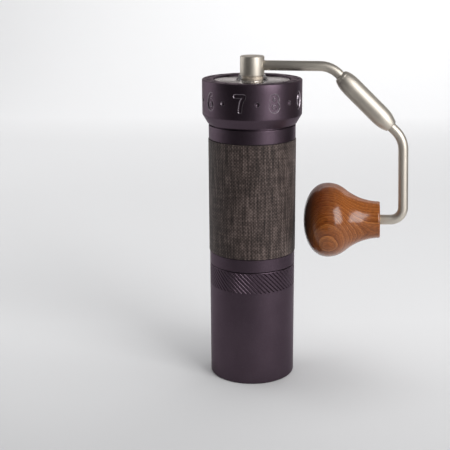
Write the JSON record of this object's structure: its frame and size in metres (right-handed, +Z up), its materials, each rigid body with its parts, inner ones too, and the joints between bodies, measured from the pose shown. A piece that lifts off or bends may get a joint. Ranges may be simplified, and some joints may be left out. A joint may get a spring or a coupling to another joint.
{
  "type": "hand crank coffee grinder",
  "caption": "Tall round hand coffee grinder with a numbered grind dial, clear lid, folding crank with a turned wooden knob and a pull-off catch cup.",
  "frame": {"origin": "centre of the catch cup's flat base, which is the face the grinder stands on", "axes": "+Z up along the shaft, +X along the crank's arm from the hub towards the fold, +Y away from the side with the dial's figure seven"},
  "size_m": [0.1249, 0.06, 0.1991],
  "materials": {
    "anodised_aluminium": "satin iron-grey anodising with a slight purple tone",
    "grip_rubber": "matt sleeve with a fine linen-like weave",
    "satin_nickel": "satin nickel",
    "burr_steel": "ground burr steel",
    "steel": "machined steel",
    "brass": "plain turned bush",
    "clear_plastic": "clear, slightly smoky plastic",
    "seal_rubber": "soft silicone",
    "wood": "reddish walnut, satin lacquer",
    "black_plastic": "moulded black plastic",
    "magnet": "plated ring magnet"
  },
  "bodies": {
    "body": {"body_tube": "anodised_aluminium", "grip_sleeve": "grip_rubber", "lower_bearing": "steel", "lower_bearing_clip": "steel", "lower_spider": "steel", "spider_snap_ring": "steel", "outer_burr": "burr_steel", "burr_retaining_ring": "steel", "preload_spring": "steel"},
    "dial": {"adjustment_dial": "anodised_aluminium", "dial_snap_ring": "steel"},
    "carrier": {"shaft_carrier": "anodised_aluminium", "upper_bearing": "steel", "upper_bearing_clip": "steel", "click_ball": "steel", "click_spring": "steel"},
    "shaft": {"drive_shaft": "steel", "shaft_clip": "steel", "burr_washer": "steel", "burr_nut": "steel", "inner_burr": "burr_steel"},
    "lid": {"hopper_lid": "clear_plastic", "lid_seal": "seal_rubber"},
    "crank": {"crank_hub": "satin_nickel", "hub_clip": "steel", "upper_arm": "satin_nickel", "swivel_barrel": "satin_nickel", "barrel_plug": "steel", "swivel_spring": "steel", "pivot_bush": "brass"},
    "fold_arm": {"lower_arm": "satin_nickel", "pivot_collar": "steel", "spindle_collar": "steel"},
    "knob": {"wooden_knob": "wood", "knob_bush": "brass"},
    "cup": {"catch_cup": "anodised_aluminium", "magnet_carrier": "black_plastic", "magnet_ring": "magnet"}
  },
  "joints": [
    {"name": "cup_pull", "type": "slide", "parent": "body", "child": "cup", "axis": [0, 0, -1], "range_m": [0, 0.075]},
    {"name": "dial_turn", "type": "hinge", "parent": "body", "child": "dial", "pos_m": [0, 0, 0.172], "axis": [0, 0, 1], "range_deg": [-240, 280]},
    {"name": "carrier_slide", "type": "slide", "parent": "body", "child": "carrier", "axis": [0, 0, 1], "range_m": [-0.00099, 0.00116], "deforming": ["preload_spring"]},
    {"name": "shaft_spin", "type": "hinge", "parent": "carrier", "child": "shaft", "pos_m": [0, 0, 0.1745], "axis": [0, 0, 1], "continuous": true},
    {"name": "lid_lift", "type": "slide", "parent": "carrier", "child": "lid", "axis": [0, 0, 1], "range_m": [0, 0.045]},
    {"name": "crank_spin", "type": "hinge", "parent": "lid", "child": "crank", "pos_m": [0, 0, 0.1835], "axis": [0, 0, 1], "continuous": true},
    {"name": "arm_fold", "type": "hinge", "parent": "crank", "child": "fold_arm", "pos_m": [0.06828, 0, 0.17266], "axis": [0.7193, 0, -0.6947], "range_deg": [0, 180]},
    {"name": "knob_spin", "type": "hinge", "parent": "fold_arm", "child": "knob", "pos_m": [0.07838, 0, 0.10121], "axis": [-0.9994, 0, -0.0349], "continuous": true}
  ],
  "couplings": [
    {"joint": "dial_turn", "follows": "carrier_slide", "rad_per_m": 4188.8},
    {"joint": "shaft_spin", "follows": "crank_spin", "ratio": 1}
  ]
}
